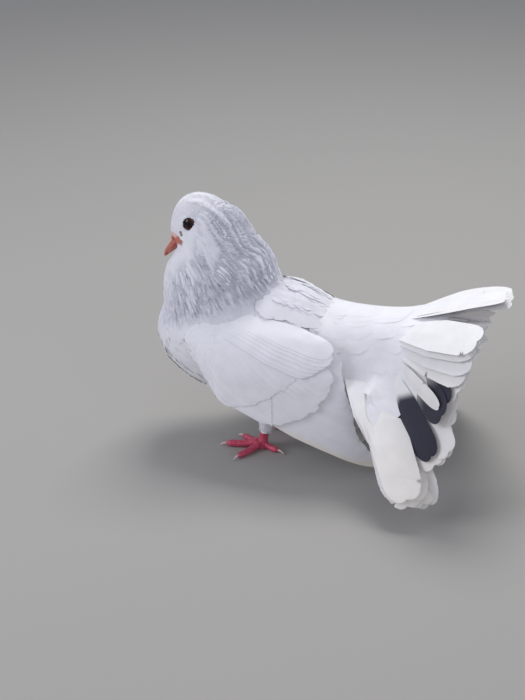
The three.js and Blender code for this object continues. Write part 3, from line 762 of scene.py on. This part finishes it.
def coverWing(name, side, points, faces):
    # small coverts over the front and top of the wing
    triangles = np.concatenate([faces[:, [0, 1, 2]], faces[:, [0, 2, 3]]])
    tree = BVHTree.FromPolygons([Vector(p) for p in points], triangles.tolist())
    middle = wingSheet["out"] - 30
    outer = lambda p: (p[:, 1] * side > middle) & (p[:, 0] + 0.8 * (p[:, 2] - 60) < 48)
    spots = scatter(lambda p: np.full(len(p), lesser["spacing"]), outer, lesser["tries"], points, triangles)
    spots, above = onSkin(spots, tree)
    outward = above[:, 1] * side > 0.15
    spots, above = spots[outward], above[outward]
    way = unit([1.0, 0, -0.55]) - above * (above @ unit([1.0, 0, -0.55]))[:, None]
    way = unit(way + np.cross(above, way) * (0.25 * (noise(spots, 8, 21) - 0.5))[:, None])
    size = 0.8 + 0.5 * smooth(-45, 20, spots[:, 0])
    long = lesser["long"] * size * chance.uniform(0.85, 1.15, len(spots))
    wide = lesser["wide"] * size
    lift = lesser["lift"] * chance.uniform(0.7, 1.2, len(spots))
    made, tris, local = tufts(spots, way, long, wide, lift, lesser["crown"], lesser["thick"], tree, droop=0.5)
    amount = np.clip(0.3 + 0.3 * (noise(spots, 25, 5) - 0.5), 0, 1)
    tints = np.repeat(blendTone("white", "lavender", amount), len(local), axis=0)
    flat = np.stack([(spots[:, 0] + 60) / 160, spots[:, 2] / 140], axis=1)
    every = (flat[:, None, :] + local[None] * 0.003).reshape(-1, 2)
    addPiece("wing_coverts_" + name, made, tris, downMaterial, tints=tints, uv=every[tris.ravel()])
    print("wing coverts", name, len(spots))


for name, side in sides.items():
    buildWing(name, side)

# Tail: bunches of long feathers from a short arc at the rump
fan = {"root": (74, 0, 106.5), "wide": 15, "drop": 9, "back": 7, "twist": 14, "width": 27}
fanAngles = [[-57, -38], [-47, -35], [-43, -22], [-40, -8], [-35, 5], [-26, 14], [-13, 18], [0, 19], [13, 17],
             [25, 11], [35, 1], [43, -9], [49, -20], [54, -31], [58, -40]]
bunches = {
    "tail_left": [
        {"from": -1, "to": -0.87, "count": 6, "lengths": (122, 131), "rise": (0, -7), "twist": -14, "bow": 3},
        {"from": -0.8, "to": -0.6, "count": 6, "lengths": (114, 99), "rise": (0, 1), "bow": 4},
        {"from": -0.52, "to": -0.36, "count": 6, "lengths": (100, 100), "rise": (-2, 5), "bow": 3},
    ],
    "tail_middle": [
        {"from": -0.3, "to": -0.17, "count": 4, "lengths": (84, 90), "rise": (-7, -5), "bow": 3},
        {"from": -0.09, "to": 0.33, "count": 9, "lengths": (101, 99), "rise": (1, 0), "bow": 3},
    ],
    "tail_right": [
        {"from": 0.42, "to": 1, "count": 12, "lengths": (92, 122), "rise": (1, 0), "bow": 4},
    ],
}
loose = {"rise": 1.6, "length": 0.05, "curl": 2.6, "wave": 1.2, "splits": 0.8, "fray": 0.05}
# Single feathers over or between the bunches of the left side: three slate ones and the white ones by them
single = [
    {"at": -0.74, "length": 111, "width": 25, "rise": 0.5, "twist": 14, "bow": 4, "dark": None, "over": 0,
     "aside": 0},
    {"at": -0.56, "length": 95, "width": 22, "rise": 2.5, "twist": 8, "bow": -3, "dark": (0.5, 0.8, 1.1, 1.2),
     "over": 2.6, "aside": -9},
    {"at": -0.61, "length": 97, "width": 24, "rise": 2.8, "twist": 8, "bow": -4, "dark": (0.42, 0.75, 1.1, 1.2),
     "over": 3.2, "aside": -8},
    {"at": -0.77, "length": 105, "width": 24, "rise": 2.5, "twist": 4, "bow": 3, "dark": (0.42, 0.5, 1.1, 1.2),
     "over": 3.4, "aside": -8},
    {"at": -0.68, "length": 92, "width": 12, "rise": 5.0, "twist": -6, "bow": -3, "dark": None, "over": 4.4,
     "aside": 6},
]
# Feathers under the outermost ones, which close the fan toward the flank
skirt = {"count": 6, "lengths": (80, 96), "width": 21, "aside": (14, 1), "under": (0.5, 2.5)}
yaw, pitch = np.radians(np.array(fanAngles, float)).T
fanWays = np.stack([np.cos(pitch) * np.cos(yaw), np.cos(pitch) * np.sin(yaw), np.sin(pitch)], axis=1)


def fanRay(s):
    return unit(through(fanWays, (s + 1) / 2))


def turned(vector, axis, degrees):
    a = math.radians(degrees)
    axis = unit(axis)
    return (vector * math.cos(a) + np.cross(axis, vector) * math.sin(a)
            + axis * (axis @ vector) * (1 - math.cos(a)))


def fanFrame(s, rise=0.0):
    ray = fanRay(s)
    level = unit([ray[0], ray[1], 0])
    ray = turned(ray, np.cross(level, [0, 0, 1.0]), rise)
    beside = fanRay(s + 0.02) - fanRay(s - 0.02)
    beside = unit(beside - ray * (beside @ ray))
    root = np.array([fan["root"][0] + fan["back"] * max(0, 1 - s * s), fan["wide"] * s,
                     fan["root"][2] - fan["drop"] * s * s])
    return ray, beside, unit(np.cross(ray, beside)), root


def tailVane(s, length, width, rise, twist, tone, bow=3.0, start=14.0, lifts=(0, 0), free=1.0, shift=(0, 0)):
    # shift moves the feather sideways at its root and at its tip
    ray, beside, above, root = fanFrame(s, rise)
    u = fineSteps
    crest = 1.6 * max(0, 1 - abs(s) / 0.1)
    lean = -math.sin(math.radians(twist)) * np.clip(s / 0.06, -1, 1)
    curl, wave = free * loose["curl"] * chance.uniform(-1, 1), free * loose["wave"] * chance.uniform(-1, 1)
    aside = free * loose["curl"] * chance.uniform(-1, 1)
    reach = start + (length - start) * u
    lift = crest + lifts[0] + (lifts[1] - lifts[0]) * u + bow * 1.6 * u * (1 - u) - bow * 0.5 * u**3
    lift = lift + curl * np.maximum(0, u - 0.6) ** 2 * 6 + wave * np.sin(u * 7 + s * 40) * u
    sideways = aside * u**2 + shift[0] + (shift[1] - shift[0]) * u**1.5
    centre = root + ray * reach[:, None] + above * lift[:, None] + beside * sideways[:, None]
    ahead = unit(np.gradient(centre, axis=0))
    across = unit(beside - ahead * (ahead @ beside)[:, None])
    up = unit(np.cross(ahead, across))
    halves = ragged(u, width, loose["splits"] * free, loose["fray"] * free)
    twisting = lean + free * chance.uniform(-0.06, 0.06)
    return vane(centre, across, up, halves, 0.06, 0.34, tone, rachis=0.24, lean=twisting)


# Coverts over the tail's base lie on one smooth sheet, from the skin of the back and flanks out over the fan.
# Each row of them covers a part of the way along the sheet, and the rows nearer the body lie on top.
tailCovert = {"from": -1.0, "to": 1.0, "count": 36, "width": 21, "lean": 0.03, "thick": 0.18, "uneven": 0.12,
              "rows": [{"start": 0.36, "end": 1.0, "lift": 0.1}, {"start": 0.26, "end": 0.84, "lift": 0.6},
                       {"start": 0.15, "end": 0.70, "lift": 1.1}, {"start": 0.06, "end": 0.55, "lift": 1.6},
                       {"start": 0.0, "end": 0.40, "lift": 2.0}]}
rump = {"turn": 113, "middle": 85, "x": (22, 45, 67), "swell": (0.0, 0.6, 3.8), "flankSwell": (0, 2.5, 9.0),
        "reach": (20, 40, 62), "flankReach": (14, 8, 6), "over": (6.0, 4.0, 1.8), "flankOver": (-3.0, -1.0, 0)}


def coverLine(s):
    # guide points of the sheet at s: three on the rump, three over the fan
    outer = float(smooth(0.55, 1.0, abs(s)))
    turn = math.radians(rump["turn"]) * s
    out = np.array([0, math.sin(turn), math.cos(turn)])
    guides = []
    for x, high, aside in zip(rump["x"], rump["swell"], rump["flankSwell"]):
        start = np.array([x, 0, rump["middle"]]) + out * 90
        spot, normal, _, _ = skinTree.ray_cast(Vector(start), Vector(-out))
        guides.append(np.array(spot) + unit(np.array(normal) * (0.4, 1, 1)) * (high + aside * outer))
    ray, beside, above, root = fanFrame(s, 0)
    for k in range(3):
        reach = rump["reach"][k] + rump["flankReach"][k] * outer
        guides.append(root + ray * reach + above * (rump["over"][k] + rump["flankOver"][k] * outer))
    return np.array(guides)


def buildCoverSheet():
    across, along = np.linspace(-1, 1, 121), np.linspace(0, 1, 97)
    lines = np.array([through(coverLine(s), along) for s in np.linspace(-1, 1, 41)])
    for _ in range(6):
        lines[1:-1] = (lines[:-2] + 2 * lines[1:-1] + lines[2:]) / 4
    places = through(lines.reshape(len(lines), -1), (across + 1) / 2).reshape(len(across), -1, 3)
    aside, ahead = np.gradient(places, across, along, axis=(0, 1))
    return {"places": places, "aside": aside, "ahead": ahead, "out": unit(np.cross(ahead, aside))}


def onSheet(grid, s, v):
    # a value of the sheet's grid between its lines
    i = np.clip((np.asarray(s, float) + 1) / 2, 0, 1) * (grid.shape[0] - 1.001)
    j = np.clip(np.asarray(v, float), 0, 1) * (grid.shape[1] - 1.001)
    a, b = i.astype(int), j.astype(int)
    f, g = (i - a)[..., None], (j - b)[..., None]
    return ((grid[a, b] * (1 - f) + grid[a + 1, b] * f) * (1 - g)
            + (grid[a, b + 1] * (1 - f) + grid[a + 1, b + 1] * f) * g)


coverSheet = buildCoverSheet()


def coverTail(row, s):
    # one covert lying on the sheet; its inner edge goes under its neighbour's outer one
    s = s + chance.uniform(-0.012, 0.012)
    u = longSteps
    end = row["end"] - tailCovert["uneven"] * chance.random()
    v = row["start"] + (end - row["start"]) * u
    at = lambda key, s, v: onSheet(coverSheet[key], s, v)
    line = np.full(len(u), s)
    stretch = np.linalg.norm(at("aside", line, v), axis=1)[:, None]
    length = np.linalg.norm(at("ahead", line, v), axis=1)[:, None]
    lift = row["lift"] * smooth(0, 0.6, u) - 0.7 * (1 - smooth(0, 0.5, u)) - 0.35 * smooth(0.75, 1, u)
    lift = lift[:, None]

    def lay(reach, swept):
        places, ways = s + reach / stretch, v[:, None] + swept / length
        out = at("out", places, ways)
        beyond = (places - np.clip(places, -1, 1))[..., None]
        return at("places", places, ways) + at("aside", places, ways) * beyond + out * lift[..., None], out

    tone = blendTone("white", "lavender", np.full(len(u), chance.uniform(0.05, 0.3)))
    halves = ragged(u, tailCovert["width"], 0.3, 0.05)
    return vane(at("places", line, v), unit(at("aside", line, v)), at("out", line, v), halves, 0.01,
                tailCovert["thick"], tone, rachis=0.03, lean=-tailCovert["lean"] * np.sign(s), slant=0.3,
                lay=lay)


# Long soft feathers of the flank, between the wing's rear edge and the tail's lowest feathers
flank = {"count": 24, "long": (40, 56), "width": 13, "x": (40, 66), "z": (46, 74), "way": (0.66, 0.32, -0.6)}


def buildFlank(name, side):
    vanes = []
    for i in range(flank["count"]):
        x = chance.uniform(*flank["x"])
        start = np.array([x, side * 40.0, flank["z"][0] + (flank["z"][1] - flank["z"][0]) * chance.random()])
        on, off = onSkin(start[None])
        way = unit(np.array(flank["way"]) * (1, side, 1) + chance.uniform(-0.08, 0.08, 3))
        long = chance.uniform(*flank["long"])
        slide = unit(way - off[0] * (off[0] @ way))
        guides = np.array([on[0], on[0] + slide * long * 0.35 + off[0] * 1.2,
                           on[0] + slide * long * 0.45 + way * long * 0.22 + off[0] * 1.5,
                           on[0] + slide * long * 0.45 + way * long * 0.55 + off[0]])
        centre = through(guides, longSteps)
        ahead = unit(np.gradient(centre, axis=0))
        across = unit(np.cross(np.tile(off, (len(centre), 1)), ahead))
        up = unit(np.cross(ahead, across))
        tone = blendTone("white", "cream", np.full(len(longSteps), chance.uniform(0.1, 0.35)))
        halves = ragged(longSteps, flank["width"], 0.5, 0.1)
        vanes.append(vane(centre, across, up, halves, 0.08, 0.24, tone, rachis=0.04, slant=0.4))
    joinVanes("flank_feathers_" + name, vanes)


for name, side in sides.items():
    buildFlank(name, side)


def tailTone(s, dark=None):
    # white, creamier and a little soiled low on the left; the slate of a dark feather runs between four steps
    low = 0.4 * smooth(-0.3, -0.95, s)
    amount = 0.15 + 0.1 * chance.standard_normal() + low * smooth(0.25, 0.9, fineSteps)
    tone = blendTone("white", "cream", np.clip(amount, 0, 1))
    if dark:
        deep = smooth(dark[0], dark[1], fineSteps) * smooth(dark[3], dark[2], fineSteps)
        deep = deep[:, None]
        tone = tone * (1 - deep) + tones["slate"] * deep
    return tone


def buildTail(name):
    vanes = []
    for bunch in bunches[name]:
        for i in range(bunch["count"]):
            t = i / (bunch["count"] - 1)
            s = bunch["from"] + (bunch["to"] - bunch["from"]) * t
            length = bunch["lengths"][0] + (bunch["lengths"][1] - bunch["lengths"][0]) * t
            rise = bunch["rise"][0] + (bunch["rise"][1] - bunch["rise"][0]) * t
            rise += loose["rise"] * chance.uniform(-1, 1)
            length *= 1 - loose["length"] * chance.random()
            twist = bunch.get("twist", fan["twist"])
            vanes.append(tailVane(s, length, fan["width"], rise, twist, tailTone(s), bow=bunch["bow"]))
    if name == "tail_left":
        for one in single:
            vanes.append(tailVane(one["at"], one["length"], one["width"], one["rise"], one["twist"],
                                  tailTone(one["at"], one["dark"]), bow=one["bow"], lifts=(0.5, one["over"]),
                                  free=0.4, shift=(0, one["aside"])))
    outer = {"tail_left": -1, "tail_right": 1}.get(name)
    for i in range(skirt["count"] if outer else 0):
        k = (i + 1) / skirt["count"]
        length = skirt["lengths"][1] + (skirt["lengths"][0] - skirt["lengths"][1]) * k
        sideways = (outer * skirt["aside"][0] * k, outer * skirt["aside"][1] * k)
        under = [-k * low for low in skirt["under"]]
        vanes.append(tailVane(outer, length, skirt["width"], 0, 0, tailTone(-1), lifts=under, free=0.4,
                              shift=sideways))
    first, last = bunches[name][0]["from"], bunches[name][-1]["to"]
    for row in tailCovert["rows"]:
        for i in range(tailCovert["count"]):
            s = tailCovert["from"] + (tailCovert["to"] - tailCovert["from"]) * i / (tailCovert["count"] - 1)
            if first - 0.05 <= s < last + 0.05:
                vanes.append(coverTail(row, s))
    joinVanes(name + "_feathers", vanes, [name])


for name in bunches:
    buildTail(name)


# Bill, eyes, legs and feet
def speckled(name, base, dark, size, bumpDeep, bumpSize, **sockets):
    material, nodes, links, shader = shaderOf(name, **sockets)
    place, cloud = addCloud(nodes, links, 1 / (size * mm), 4.0)
    addRamp(nodes, links, shader, cloud.outputs["Fac"], (0.35, dark), (0.65, base))
    cells = addNode(nodes, "ShaderNodeTexVoronoi", Scale=1 / (bumpSize * mm))
    links.new(place.outputs["Object"], cells.inputs["Vector"])
    addBump(nodes, links, shader, cells.outputs["Distance"], 0.6, bumpDeep)
    return material


hornMaterial = speckled("coral_horn", (0.54, 0.16, 0.12), (0.40, 0.09, 0.065), 2.2, 0.03, 0.5,
                        Roughness=0.42, Subsurface_Weight=0.15, Subsurface_Scale=0.001)
scaleMaterial = speckled("crimson_scales", (0.60, 0.085, 0.15), (0.42, 0.045, 0.09), 2.5, 0.12, 1.1,
                         Roughness=0.5)
clawMaterial = speckled("claw_horn", (0.74, 0.58, 0.54), (0.52, 0.36, 0.34), 1.6, 0.02, 0.6, Roughness=0.4)

refined = {
    "bill": {"nodes": ["bill_upper", "bill_lower"], "voxel": 0.28, "rounds": 4, "slot": "bill"},
    "scale": {"voxel": 0.45, "rounds": 5, "slot": "scale"},
    "claw": {"voxel": 0.22, "rounds": 3, "slot": "claw"},
}


def refine(node, shape, material):
    points, _, _, quads = remeshed([node], shape["voxel"], shape["rounds"], grow=shape["voxel"] * 0.3)
    points[:, 2] = np.maximum(points[:, 2], 0.0)
    addPiece(node + "_fine", points, quads, material, [node])


for node in refined["bill"]["nodes"]:
    refine(node, refined["bill"], hornMaterial)
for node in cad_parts:
    if node.startswith(("toe_", "shank_")):
        refine(node, refined["scale"], scaleMaterial)
    if node.startswith("claw_"):
        refine(node, refined["claw"], clawMaterial)
print("bill and feet")

eye = {
    "ball": 6.2,
    # from the pupil out to the iris and its dark rim: place on the ball from 0 to 1, and colour
    "stops": ((0.5, (0.004, 0.003, 0.003)), (0.6, (0.06, 0.016, 0.011)), (0.8, (0.03, 0.008, 0.007))),
}


def eyeMaterial():
    material, nodes, links, shader = shaderOf("eye", Roughness=0.12, Specular_IOR_Level=0.25)
    away = addNode(nodes, "ShaderNodeAttribute", attribute_name="fromPupil")
    addRamp(nodes, links, shader, away.outputs["Fac"], *eye["stops"])
    return material


def gaze(side, ahead, high):
    # the eye's axis and two ways across it
    axis = unit([ahead, side, high])
    right = unit(np.cross(axis, [0, 0, 1.0]))
    return axis, right, np.cross(right, axis)


def buildEye(name, side):
    us, vs = 24, 32
    centre = eyeAt * (1, -side, 1)
    axis, right, up = gaze(side, -0.28, 0.06)
    points, away = [centre + axis * eye["ball"]], [0.0]
    for i in range(1, us):
        a = math.pi * i / us
        for j in range(vs):
            b = 2 * math.pi * j / vs
            flatWay = right * math.cos(b) + up * math.sin(b)
            points.append(centre + (axis * math.cos(a) + flatWay * math.sin(a)) * eye["ball"])
            away.append(min(1.0, math.sin(a) * eye["ball"] / 6.0) if a < math.pi / 2 else 1.0)
    points.append(centre - axis * eye["ball"])
    away.append(1.0)
    last = len(points) - 1
    faces = [(0, 1 + j, 1 + (j + 1) % vs) for j in range(vs)]
    for i in range(us - 2):
        for j in range(vs):
            a, b = 1 + i * vs + j, 1 + i * vs + (j + 1) % vs
            faces += [(a, a + vs, b + vs), (a, b + vs, b)]
    faces += [(last, last - vs + (j + 1) % vs, last - vs + j) for j in range(vs)]
    piece = addPiece("eyeball_" + name, np.array(points), np.array(faces), eyeMaterial(),
                     ["eye_" + name])
    values = np.array(away, np.float32)
    piece.data.attributes.new("fromPupil", "FLOAT", "POINT").data.foreach_set("value", values)


lid = {"radius": 4.7, "thick": 0.6, "out": 4.2, "oval": (1.12, 0.94)}
lidMaterial = speckled("lid_skin", (0.13, 0.06, 0.055), (0.05, 0.024, 0.022), 1.0, 0.05, 0.4, Roughness=0.6)


def buildLid(name, side):
    around, small = 40, 8
    centre = eyeAt * (1, -side, 1) + np.array([-0.8, side * lid["out"], 0])
    axis, right, up = gaze(side, -0.22, 0.1)
    points = []
    for i in range(around):
        a = 2 * math.pi * i / around
        outward = right * math.cos(a) * lid["oval"][0] + up * math.sin(a) * lid["oval"][1]
        for j in range(small):
            b = 2 * math.pi * j / small
            points.append(centre + outward * (lid["radius"] + lid["thick"] * math.cos(b))
                          + axis * lid["thick"] * math.sin(b) * 0.9)
    faces = [(i * small + j, (i + 1) % around * small + j, (i + 1) % around * small + (j + 1) % small,
              i * small + (j + 1) % small) for i in range(around) for j in range(small)]
    addPiece("lid_" + name, np.array(points), np.array(faces), lidMaterial)


for name, side in sides.items():
    buildEye(name, side)
    buildLid(name, side)
print("eyes")

# Studio: floor, lights and the camera at the photograph's angle
studio = {
    "floor": (0.36, 0.35, 0.33),
    "world": ((0.84, 0.88, 1.0), 0.47),
    "key": {"at": (0, 600, 1350), "size": 600, "power": 12, "colour": (1.0, 0.985, 0.96)},
    "fill": {"at": (-1000, -600, 600), "size": 600, "power": 6, "colour": (0.92, 0.92, 1.0)},
    "low": {"at": (900, -900, 500), "size": 900, "power": 3, "colour": (0.97, 0.94, 1.0)},
}
view = {"target": (-5.8, 0, 72.3), "azimuth": 18, "elevation": 26, "distance": 1050, "tall": 28.07}


def buildStudio():
    floorMesh = bpy.data.meshes.new("floor")
    wide = 6.0
    corners = [(-wide, -wide, 0), (wide, -wide, 0), (wide, wide, 0), (-wide, wide, 0)]
    floorMesh.from_pydata(corners, [], [(0, 1, 2, 3)])
    floor = bpy.data.objects.new("floor", floorMesh)
    bpy.context.scene.collection.objects.link(floor)
    material, nodes, links, shader = shaderOf("floor", Roughness=0.75)
    _, cloud = addCloud(nodes, links, 3.0, 3.0)
    addRamp(nodes, links, shader, cloud.outputs["Fac"], (0, [c * 0.97 for c in studio["floor"]]),
            (1, studio["floor"]))
    floorMesh.materials.append(material)
    world = bpy.data.worlds.new("studio")
    world.use_nodes = True
    colour, strength = studio["world"]
    world.node_tree.nodes["Background"].inputs["Color"].default_value = (*colour, 1)
    world.node_tree.nodes["Background"].inputs["Strength"].default_value = strength
    bpy.context.scene.world = world
    for name in ("key", "fill", "low"):
        shape = studio[name]
        light = bpy.data.lights.new(name, "AREA")
        light.size = shape["size"] * mm
        light.energy = shape["power"]
        light.color = shape["colour"]
        lamp = bpy.data.objects.new(name, light)
        lamp.location = Vector(shape["at"]) * mm
        lamp.rotation_euler = (Vector((0, 0, 0.08)) - lamp.location).to_track_quat("-Z", "Y").to_euler()
        bpy.context.scene.collection.objects.link(lamp)


def buildCamera():
    a, e = math.radians(view["azimuth"]), math.radians(view["elevation"])
    back = Vector((math.sin(a) * math.cos(e), -math.cos(a) * math.cos(e), math.sin(e)))
    camera = bpy.data.cameras.new("camera")
    camera.sensor_width = 36
    camera.lens = 18 / math.tan(math.radians(view["tall"]) / 2)
    camera.clip_start, camera.clip_end = 0.05, 50
    holder = bpy.data.objects.new("camera", camera)
    holder.location = Vector(toFrame(view["target"])) + back * view["distance"] * mm
    holder.rotation_euler = (-back).to_track_quat("-Z", "Y").to_euler()
    bpy.context.scene.collection.objects.link(holder)
    bpy.context.scene.camera = holder


bpy.context.scene.view_settings.view_transform = "Standard"
buildStudio()
buildCamera()
print("studio")
